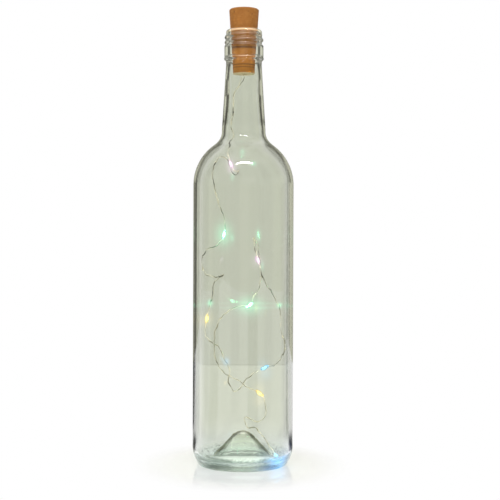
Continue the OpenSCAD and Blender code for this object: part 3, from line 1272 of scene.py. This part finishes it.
    def mesh(self) -> tuple[list, list[Face]]:
        """Turns both outlines round the axis, with the thread on the outer one.

        Returns:
            The points in metres and the faces.
        """
        outer = self.outside()
        outline = outer + self.inside()
        low, high = self.height - self.band_drop, self.height - self.lip_round
        verts = [(0.0, 0.0, outline[0][1] * MM)]
        for index, (r, z) in enumerate(outline[1:-1], start=1):
            threaded = index < len(outer) and low < z < high
            for k, (x, y) in enumerate(circle(self.around)):
                reach = r + (self.thread(z, 360 * k / self.around) if threaded else 0.0)
                verts.append((reach * x * MM, reach * y * MM, z * MM))
        verts.append((0.0, 0.0, outline[-1][1] * MM))
        return verts, closed(len(outline) - 2, self.around)

    def build(self, lamps: tuple[Lamp, ...]) -> bpy.types.Object:
        """Makes the glass.

        Args:
            lamps: The lights whose glow shows on it.

        Returns:
            The piece.
        """
        verts, faces = self.mesh()
        piece = new_piece("bottle_glass", verts, faces, BottleGlass("bottle_glass_clear", lamps))
        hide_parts("bottle")
        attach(piece, "glass")
        return piece


# Route of the twin wire, in millimetres, as in the part's source
ROUTE = (
    (0, 0, 292.8), (0, 0, 290.5), (-2.5, 0, 286), (-6, 0.5, 281.5), (-9, 1, 277), (-9, 1, 271),
    (-8, 0, 264), (-9, -1, 257.5), (-9.5, 0, 251.5), (-7, 2, 245), (-11, 3, 238.5),
    (-11.5, 2, 232), (-9.5, 1, 225), (-7, 3, 220), (-3.5, 6, 220), (-7.5, 10, 217.5),
    (-12.5, 13, 229), (-18.5, 12, 231.5), (-22.5, 10, 226.5), (-24, 8, 218),
    (-21.5, 4, 206), (-18.5, 1, 195), (-14, -1, 184), (-14.5, 0, 172), (-19, 2, 164.5),
    (-27, 5, 160.5), (-32, 8, 153.5), (-30, 11, 143.5), (-22.5, 12, 139.5),
    (-14.5, 15, 141.5), (-22.5, 16, 135.5), (-24.5, 11, 124), (-27.5, 4, 108.5),
    (-28.5, 2, 99), (-24.5, -1, 92), (-18, -2, 87.5), (-14.5, -2, 80), (-10, 1, 70.5),
    (-11, 4, 62), (-6.5, 7, 53.5), (-1.5, 9, 56.5), (3, 10, 63), (16.5, 8, 71.5),
    (25, 7, 74), (31, 6, 82), (32, 5, 90.5), (29.5, 6, 99), (28.5, 9, 112),
    (25, 12, 123), (17, 14, 135.5), (11, 12, 152.5), (9, 11, 162), (8, 14, 170),
    (11.5, 18, 160), (14, 19, 145), (12.5, 16, 133.5), (9.5, 12, 126.5), (5, 8, 119),
    (-5, 5, 117.5), (-14, 4, 112.5), (-20, 6, 102.5), (-22, 9, 91), (-20.5, 13, 75.5),
    (-14, 16, 66), (-4.5, 15, 61.5), (3.5, 10, 56.5), (12.5, 6, 52.5), (17, 4, 45.5),
    (17, 5, 35.5), (10.5, 8, 30.5), (1.5, 10, 34), (4, 9, 26), (9, 8, 26.5),
    (14.5, 5, 21), (20.5, -2, 13.5), (24.5, -12, 8.6),
)
BEAD_AT = (12, 23, 32, 42, 50, 57, 66, 75)


@dataclass
class LightString:
    """The twin wire and its eight lit drops, with sizes in millimetres."""

    strand_r: float = 0.22
    strand_gap: float = 0.21
    spread: float = 1.0
    spread_shift: float = -0.6
    spread_end: float = 12.0
    twist: float = 14.0
    kink: float = 0.75
    slow: Point = (0.17, 0.8)
    quick: Point = (0.50, 0.88)
    straight: float = 22.0
    light_clear: float = 2.0
    light_fade: float = 4.0
    seed: int = 3
    hang: float = 1.6
    hang_z: float = 278.0
    hang_half: float = 13.5
    cord_d: float = 0.8
    step: float = 1.3
    sides: int = 6
    drop_r: float = 1.65
    drop_half: float = 3.8
    drop_skew: float = 0.06
    drop_waist: float = 0.08
    drop_taper: float = 2.6
    drop_rings: int = 16
    drop_sides: int = 20
    chip_r: float = 0.75
    chip_half: float = 2.3

    def lamps(self) -> tuple[Lamp, ...]:
        """Lists the lights, with the glow of the second squeezed, the sixth streaked and the last low.

        Returns:
            The eight lights in order down the wire.
        """
        lamps = [Lamp(Vector(ROUTE[at]) * MM, colour) for at, colour in zip(BEAD_AT, [*LightColour] * 2)]
        lamps[1] = replace(lamps[1], squeeze=(1.0, 1.0, 0.7))
        lamps[5] = replace(lamps[5], squeeze=(0.6, 1.0, 1.0), streak=0.35)
        lamps[7] = replace(lamps[7], core_share=0.35)
        return tuple(lamps)

    def path(self) -> list[Vector]:
        """Lays a smooth centreline through the route, a little to one side in the neck.

        Returns:
            Its points in millimetres, from the stopper to the last light.
        """
        corners = [Vector(p) for p in ROUTE]
        ends = [corners[0] * 2 - corners[1], *corners, corners[-1] * 2 - corners[-2]]
        fine = []
        for before, a, b, after in zip(ends, ends[1:], ends[2:], ends[3:]):
            steps = max(2, round((b - a).length / self.step))
            fine += [spline(before, a, b, after, i / steps) for i in range(steps)]
        fine.append(corners[-1])
        for point in fine:
            off = (point.z - self.hang_z) / self.hang_half
            if abs(off) < 1:
                point.x += self.hang * (1 - off * off)
        return self.kinked(fine)

    def kinked(self, path: list[Vector]) -> list[Vector]:
        """Adds the small bends that a thin wire keeps from its packing, none at the lights and the ends.

        Args:
            path: A smooth path in millimetres.

        Returns:
            The bent path.
        """
        lights = [Vector(ROUTE[at]) for at in BEAD_AT] + [path[0]]
        noise.seed_set(self.seed)
        bent, walked = [], 0.0
        for i, point in enumerate(path):
            walked += (point - path[i - 1]).length if i else 0.0
            nearest = min((point - light).length for light in lights)
            clear = min(1.0, max(0.0, nearest - self.light_clear) / self.light_fade)
            clear *= min(1.0, walked / self.straight)
            slow = noise.noise_vector(Vector((walked * self.slow[0], 3.1, 0.4)))
            quick = noise.noise_vector(Vector((walked * self.quick[0], 7.7, 1.9)))
            bent.append(point + (slow * self.slow[1] + quick * self.quick[1]) * self.kink * clear)
        return bent

    def strands(self, path: list[Vector]) -> tuple[list, list[Face]]:
        """Sweeps the two strands along the path.

        Args:
            path: The centreline in millimetres.

        Returns:
            Points in metres and faces.
        """
        side = Vector((1, 0, 0))
        walked = 0.0
        frames = []
        for i, point in enumerate(path):
            ahead = (path[min(i + 1, len(path) - 1)] - path[max(i - 1, 0)]).normalized()
            side = (side - ahead * side.dot(ahead)).normalized()
            walked += (point - path[i - 1]).length if i else 0.0
            frames.append((point, side.copy(), ahead.cross(side), walked))
        verts, faces = [], []
        for sign in (-1, 1):
            first = len(verts)
            for point, u, v, walked in frames:
                apart = 1 - min(1.0, walked / self.spread_end) ** 2
                angle = math.tau * max(0.0, walked - self.spread_end) / self.twist
                gap = self.strand_gap + (self.spread - self.strand_gap) * apart
                offset = (u * math.cos(angle) + v * math.sin(angle)) * gap * sign
                centre = point + offset + Vector((self.spread_shift * apart, 0, 0))
                verts += [(centre + (u * x + v * y) * self.strand_r) * MM for x, y in circle(self.sides)]
            faces += tube(first, len(frames), self.sides)
            faces += [tuple(range(end, end + self.sides)) for end in (first, len(verts) - self.sides)]
        return verts, faces

    def egg(self, radius: float, half: float, skew: float, along: Vector,
            at: Vector) -> tuple[list, list[Face]]:
        """Shapes an egg-like solid round the wire.

        Args:
            radius: Largest radius in millimetres.
            half: Half its length in millimetres.
            skew: How far its widest part lies off the middle, as a share of half.
            along: Direction of the wire.
            at: Its middle in millimetres.

        Returns:
            Points in metres and faces.
        """
        turn = Vector((0, 0, 1)).rotation_difference(along).to_matrix()
        verts = [(at - along * half) * MM]
        for i in range(1, self.drop_rings + 1):
            t = -1 + 2 * i / (self.drop_rings + 1)
            waist = 1 - self.drop_waist * (1 - math.cos(self.drop_taper * t))
            size = radius * math.sqrt(1 - t * t) * (1 + skew * t) * waist
            verts += [(at + turn @ Vector((size * x, size * y, t * half))) * MM
                      for x, y in circle(self.drop_sides)]
        verts.append((at + along * half) * MM)
        return verts, closed(self.drop_rings, self.drop_sides)

    def build(self) -> list[bpy.types.Object]:
        """Returns:
            The pieces.
        """
        path = self.path()
        verts, faces = self.strands(path)
        lamps = self.lamps()
        # Two copies of the wire's finish, one leaning to painted highlight, one to painted shade
        bright = WireFinish("wire_painted_highlight", -0.25, lamps)
        painted_shade = WireFinish("wire_painted_shade", 0.16, lamps)
        wire = new_piece("twin_wire", verts, faces, bright, (painted_shade, len(faces) // 2))
        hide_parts("light_wire")
        beads = []
        for i, (lamp, at) in enumerate(zip(lamps, BEAD_AT), start=1):
            here = Vector(ROUTE[at])
            ahead = (Vector(ROUTE[min(at + 1, len(ROUTE) - 1)]) - Vector(ROUTE[at - 1])).normalized()
            name = lamp.colour.name.lower()
            resin = DropFinish(f"resin_{name}", lamp.colour)
            verts, faces = self.egg(self.drop_r, self.drop_half, self.drop_skew, ahead, here)
            drop = new_piece(f"light_drop_{i}", verts, faces, resin)
            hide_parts(f"led_bead_{i}")
            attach(drop, "glass")
            low = "" if lamp.core_share == 1.0 else "_low"
            light = ChipFinish(f"lit_chip_{name}{low}", lamp.colour, lamp.core_share)
            verts, faces = self.egg(self.chip_r, self.chip_half, 0.0, ahead, here)
            chip = new_piece(f"light_chip_{i}", verts, faces, light)
            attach(chip, "glass")
            beads += [drop, chip]
        length = sum((b - a).length for a, b in zip(path, path[1:])) * MM
        path[0] * MM
        [p * MM for p in path]
        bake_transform(wire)
        log.info("wire of %.0f mm with %d drops", length / MM, len(BEAD_AT))
        return [wire, *beads]


@dataclass
class CorkStopper:
    """The stopper's shells, dressed as cork, and the parts inside it, with sizes in millimetres."""

    low_z: float = 292.8
    length: float = 47.6
    low_d: float = 16.2
    top_d: float = 22.2
    seam: float = 19.8
    seam_gap: float = 0.15
    seam_round: float = 0.2
    top_round: float = 1.3
    top_t: float = 4.0
    end_round: float = 0.4
    hole_round: float = 0.3
    recess_r: float = 4.6
    recess_h: float = 0.8
    button_hole_r: float = 3.58
    socket_r: float = 8.05
    spigot_r: float = 8.0
    spigot_h: float = 6.0
    chamber_r: float = 6.1
    plug_r: float = 1.9
    end_wall: float = 2.8
    reach: float = 1.3
    smooth_rim: float = 0.4
    rough: float = 0.035
    rough_shift: float = -0.6
    rough_grain: float = 1.4
    around: int = 160

    def radius(self, z: float) -> float:
        """Returns the stopper's radius at a height above its lower end."""
        return self.low_d / 2 + (self.top_d - self.low_d) / 2 * z / self.length

    def shell(self, name: str, outline: list[Point], node: str, body: str) -> bpy.types.Object:
        """Turns an open outline into a shell with the fine unevenness of cork.

        Args:
            name: The piece's name.
            outline: Radius and height above the lower end, in millimetres.
            node: The node it stands for.
            body: The body it rides on.

        Returns:
            The piece.
        """
        verts = []
        for r, z in outline:
            for x, y in circle(self.around):
                place = Vector((r * x, r * y, z + self.low_z))
                rough = self.rough * (noise.noise(place * self.rough_grain) + self.rough_shift)
                shrink = 1 + rough / r if r > self.button_hole_r + self.smooth_rim else 1.0
                verts.append(Vector((place.x * shrink, place.y * shrink, place.z)) * MM)
        faces = tube(0, len(outline), self.around) + belt(len(verts) - self.around, 0, self.around)
        piece = new_piece(name, verts, faces, CorkFinish("cork_grain"))
        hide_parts(node)
        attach(piece, body)
        return piece

    def head(self) -> bpy.types.Object:
        """Makes the head with its rounded top edge and the recess round the button.

        Returns:
            The piece.
        """
        top, edge = self.length, self.seam_round
        seam_x = self.radius(self.seam) - edge
        corner = (self.radius(top) - self.top_round, top - self.top_round)
        hole_x = self.recess_r + self.hole_round
        outline = line((self.socket_r, self.seam), (seam_x, self.seam), 4)
        outline += arc((seam_x, self.seam + edge), edge, -90, 0, 3)
        outline += line(outline[-1], (self.radius(top), corner[1]), 60)[1:]
        outline += arc(corner, self.top_round, 0, 90, 10) + line((corner[0], top), (hole_x, top), 8)[1:]
        outline += arc((hole_x, top - self.hole_round), self.hole_round, 90, 180, 4)
        outline += [(r, top - self.recess_h) for r in (self.recess_r, self.button_hole_r)]
        outline += [(r, top - self.top_t) for r in (self.button_hole_r, self.socket_r)]
        return self.shell("cork_head", without_doubles(outline), "head_shell", "head")

    def body(self) -> bpy.types.Object:
        """Makes the lower shell with its spigot and its end face round the wire plug.

        Returns:
            The piece.
        """
        low, end, hole = -self.reach, self.end_round, self.hole_round
        spigot_top = self.seam + self.spigot_h
        hole_x, end_x, seam_x = self.plug_r + hole, self.radius(low) - end, self.radius(self.seam)
        outline = [(self.plug_r, self.end_wall), (self.plug_r, low + hole)]
        outline += arc((hole_x, low + hole), hole, 180, 270, 3)
        outline += line((hole_x, low), (end_x, low), 10)[1:] + arc((end_x, low + end), end, -90, 0, 4)
        outline += line((self.radius(low + end), low + end), (seam_x, self.seam - self.seam_gap), 60)[1:]
        outline += [(seam_x - self.seam_round, self.seam), (self.spigot_r, self.seam)]
        outline += [(self.spigot_r, spigot_top), (self.chamber_r, spigot_top)]
        outline += [(self.chamber_r, self.end_wall)]
        return self.shell("cork_body", without_doubles(outline), "stopper_body", "stopper")

    def dress(self) -> list[bpy.types.Object]:
        """Gives the parts inside the stopper their finishes.

        Returns:
            The parts.
        """
        finishes = {
            PlasticFinish("potting_glue", (0.62, 0.52, 0.36, 1.0), 0.5): ("wire_plug",),
            MetalFinish("brass_contact", (0.80, 0.62, 0.30, 1.0), 0.28): (
                "end_contact", "side_strip", "ring_contact"),
            MetalFinish("cell_steel", (0.78, 0.78, 0.80, 1.0), 0.18): ("cell_1", "cell_2", "cell_3"),
            MetalFinish("spring_steel", (0.66, 0.66, 0.68, 1.0), 0.25): ("contact_spring",),
            PlasticFinish("white_collar", (0.75, 0.75, 0.72, 1.0), 0.45): ("board_collar",),
            PlasticFinish("board_mask", (0.02, 0.13, 0.05, 1.0), 0.3): ("circuit_board",),
            PlasticFinish("black_plastic", (0.018, 0.018, 0.02, 1.0), 0.45): (
                "switch_body", "switch_plunger", "resistor", "timer_chip"),
            PlasticFinish("button_plastic", (0.03, 0.03, 0.032, 1.0), 0.38): ("push_button",),
        }
        parts = []
        for finish, nodes in finishes.items():
            for node in nodes:
                parts.append(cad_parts[node])
                for place in parts[-1].material_slots:
                    place.material = finish.material()
        return parts

    def build(self) -> list[bpy.types.Object]:
        """Makes the cork shells and dresses what is inside."""
        return [self.body(), self.head(), *self.dress()]


@dataclass(frozen=True)
class Corners:
    """The room's four dark corners: a wide band and a thin one, in degrees from a wall's middle."""

    wide: Band = (8.0, 14.0, 39.0, 44.0)
    thin: Band = (44.0, 46.0, 49.0, 52.0)
    thin_share: float = 0.9

    def dark(self, across: Signal, along: Signal) -> Signal:
        """Darkens the directions of the corners.

        Args:
            across: How far to +X.
            along: How far to +Y.

        Returns:
            The darkness, 1 in a corner and 0 at a window.
        """
        graph = across.graph
        quarter = graph.math("MODULO", graph.math("ARCTAN2", along, across) + math.tau, math.pi / 2)
        wide, thin = (quarter.band(*map(math.radians, angles)) for angles in (self.wide, self.thin))
        return wide + thin * self.thin_share


@dataclass(frozen=True)
class FloorFinish(Finish):
    """White table: soft shadow and a faint reflection near the bottle, plain white further off.

    Ramps and bands are in metres, from the bottle's axis.
    """

    colour: Colour = (0.74, 0.745, 0.75, 1.0)
    polish: float = 0.025
    white: Ramp = (0.055, 0.105)
    white_least: float = 0.25
    corners: Corners = Corners(wide=(8.0, 14.0, 31.0, 36.0), thin_share=0.1)
    near_corners: Ramp = (0.70, 0.88)
    corners_far: Ramp = (0.14, 0.22)
    mirrored_shade: float = 0.15
    corner_shade: float = 0.80
    back_edge: Ramp = (0.690, 0.697)
    back_shade: float = 0.22
    below: Band = (0.045, 0.075, 0.085, 0.200)
    below_shade: float = 0.17

    def shade(self, graph: Graph) -> Signal:
        """Builds the table top.

        Args:
            graph: The material's nodes.

        Returns:
            The surface shader.
        """
        away = graph.stretched((1.25, 1.0, 1.0)).vector("LENGTH", output="Value")
        table = graph.principled({
            "Base Color": self.colour, "Roughness": self.polish, "Specular IOR Level": 0.5})
        rays = ("Is Camera Ray", "Is Glossy Ray", "Is Transmission Ray", "Glossy Depth")
        camera, glossy, through, bounced = graph.outputs("ShaderNodeLightPath", rays)
        mirrored = bounced.capped()
        across, along, _ = graph.place().parts()
        twice = (across * along * 2.0 / (across * across + along * along)) ** 2.0
        corner = between(twice.step(*self.near_corners), self.corners.dark(across, along),
                         away.step(*self.corners_far))
        below = along.band(*self.below) * self.below_shade
        back = along.step(*self.back_edge) * self.back_shade
        shade = mirrored * (self.mirrored_shade + self.corner_shade * corner)
        shade = shade + through * (1.0 - mirrored) * (back + below)
        bright, dim = (graph.signal("ShaderNodeEmission", None, {"Color": WHITE, "Strength": strength})
                       for strength in (1.0, 0.0))
        seen = (camera + glossy + through).capped()
        share = seen * between(self.white_least, 1.0, away.step(*self.white))
        return graph.either(share, table, graph.either(shade, bright, dim))


@dataclass
class Studio:
    """Camera, table, world and lamps, with lengths in metres.

    The room's ramps are parts of a direction: up is 0 when level and 1 straight up, across is 1 to a side.
    """

    distance: float = 0.880
    eye: float = 0.168
    aside: float = 0.0050
    lens: float = 84.6
    sensor: float = 36.0
    clip: float = 0.01
    tilt: float = -0.49
    roll: float = -0.20
    table_side: float = 3.0
    table_back: float = 0.71
    table_drop: float = 0.00005
    backdrop: float = 0.86
    fill: float = 0.80
    inside: float = 1.85
    dusk: float = 0.45
    dusk_across: Ramp = (0.50, 0.95)
    window: float = 0.72
    corner: float = 0.10
    corners: Corners = Corners()
    high_corners: Ramp = (0.52, 0.86)
    corners_up: Ramp = (0.05, 0.085)
    roof: float = 0.78
    roof_up: Ramp = (0.19, 0.36)
    front: float = 0.30
    ceiling: float = 0.95
    ceiling_up: Ramp = (0.5, 0.98)
    inner_colour: Colour = (1.0, 0.99, 0.82, 1.0)
    lamp_aim: float = 0.2
    bounces: int = 20
    gloss_bounces: int = 12

    def camera(self) -> None:
        """Sets the camera where the photograph was taken from."""
        data = bpy.data.cameras.new("camera")
        data.lens = self.lens
        data.sensor_width = self.sensor
        data.clip_start = self.clip
        camera = bpy.data.objects.new("camera", data)
        bpy.context.scene.collection.objects.link(camera)
        level = Matrix.Rotation(math.radians(90 + self.tilt), 4, "X")
        roll = Matrix.Rotation(math.radians(self.roll), 4, "Y")
        camera.matrix_world = Matrix.Translation((self.aside, -self.distance, self.eye)) @ roll @ level
        bpy.context.scene.camera = camera

    def table(self) -> None:
        """Makes the table top."""
        mesh = bpy.data.meshes.new("table_top")
        side, back = self.table_side, self.table_back
        mesh.from_pydata([(-side, -side, 0), (side, -side, 0), (side, back, 0), (-side, back, 0)], [],
                         [(0, 1, 2, 3)])
        mesh.materials.append(FloorFinish("table_white").material())
        table = bpy.data.objects.new("table_top", mesh)
        table.location.z = -self.table_drop
        bpy.context.scene.collection.objects.link(table)

    def world(self) -> None:
        """Lights the room: white behind the bottle, a plain pale room all round."""
        world = bpy.data.worlds.new("room")
        world.use_nodes = True
        bpy.context.scene.world = world
        graph = Graph(world.node_tree)
        kinds = ("Is Camera Ray", "Is Transmission Ray", "Is Singular Ray")
        camera, through, singular = graph.outputs("ShaderNodeLightPath", kinds)
        depths = ("Glossy Depth", "Transmission Depth", "Diffuse Depth")
        mirrored, inner, lit = (depth.capped() for depth in graph.outputs("ShaderNodeLightPath", depths))
        across, along, up = graph.signal("ShaderNodeTexCoord", output="Generated").parts()

        high_corner = ((across * along * 2.0) ** 2.0).step(*self.high_corners)
        corner = between(self.corners.dark(across, along), high_corner, up.step(*self.corners_up))
        inner_sides = between(self.window, self.corner, corner)
        inner_sides = inner_sides * (1.0 - self.roof * up.step(*self.roof_up))
        outer_sides = between(1.0, between(self.front, self.ceiling, up.step(*self.ceiling_up)), singular)
        sides = between(inner_sides, outer_sides, 1.0 - inner)

        dusk = 1.0 - self.dusk * graph.math("ABSOLUTE", across).step(*self.dusk_across)
        fill = dusk * self.fill
        strength = between(fill, 1.0, camera) + through * (self.backdrop - fill)
        strength = between(strength, sides, mirrored)
        strength = between(strength, dusk * self.inside, lit * (mirrored + through).capped())
        colour = graph.mix(mirrored * (1.0 - lit), WHITE, self.inner_colour)
        light = graph.signal("ShaderNodeBackground", None, {"Color": colour, "Strength": strength})
        graph.node("ShaderNodeOutputWorld", None, {"Surface": light})

    def lamp(self, name: str, size: Point, at: Triple, watts: float, shows: bool) -> None:
        """Hangs an area lamp that faces the bottle.

        Args:
            name: The lamp's name.
            size: Width and height.
            at: Where it hangs.
            watts: Its power.
            shows: Whether it shows as a highlight.
        """
        data = bpy.data.lights.new(name, "AREA")
        data.shape = "RECTANGLE"
        data.size, data.size_y = size
        data.energy = watts
        lamp = bpy.data.objects.new(name, data)
        lamp.visible_glossy = lamp.visible_transmission = shows
        bpy.context.scene.collection.objects.link(lamp)
        aim = Vector((0, 0, self.lamp_aim)) - Vector(at)
        lamp.matrix_world = Matrix.Translation(at) @ aim.to_track_quat("-Z", "Y").to_matrix().to_4x4()

    def build(self) -> None:
        """Sets everything up."""
        self.camera()
        self.table()
        self.world()
        self.lamp("front_strip", size=(0.65, 0.072), at=(0.03, -0.66, 1.02), watts=4.7, shows=True)
        self.lamp("left_soft", size=(0.5, 0.5), at=(-0.9, -0.7, 0.9), watts=2.5, shows=False)
        bpy.context.scene.view_settings.view_transform = "Standard"
        paths = bpy.context.scene.cycles
        paths.blur_glossy = 0.0
        paths.max_bounces = paths.transmission_bounces = self.bounces
        paths.glossy_bounces = self.gloss_bounces


def main() -> None:
    """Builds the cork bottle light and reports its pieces."""
    logging.basicConfig(level=logging.INFO, format="%(message)s")
    Studio().build()
    string = LightString()
    pieces = string.build()
    pieces.append(GlassBottle().build(string.lamps()))
    pieces += CorkStopper().build()
    for piece in pieces:
        log.info("%s: %d faces", piece.name, len(piece.data.polygons))


if __name__ == "__main__":
    main()
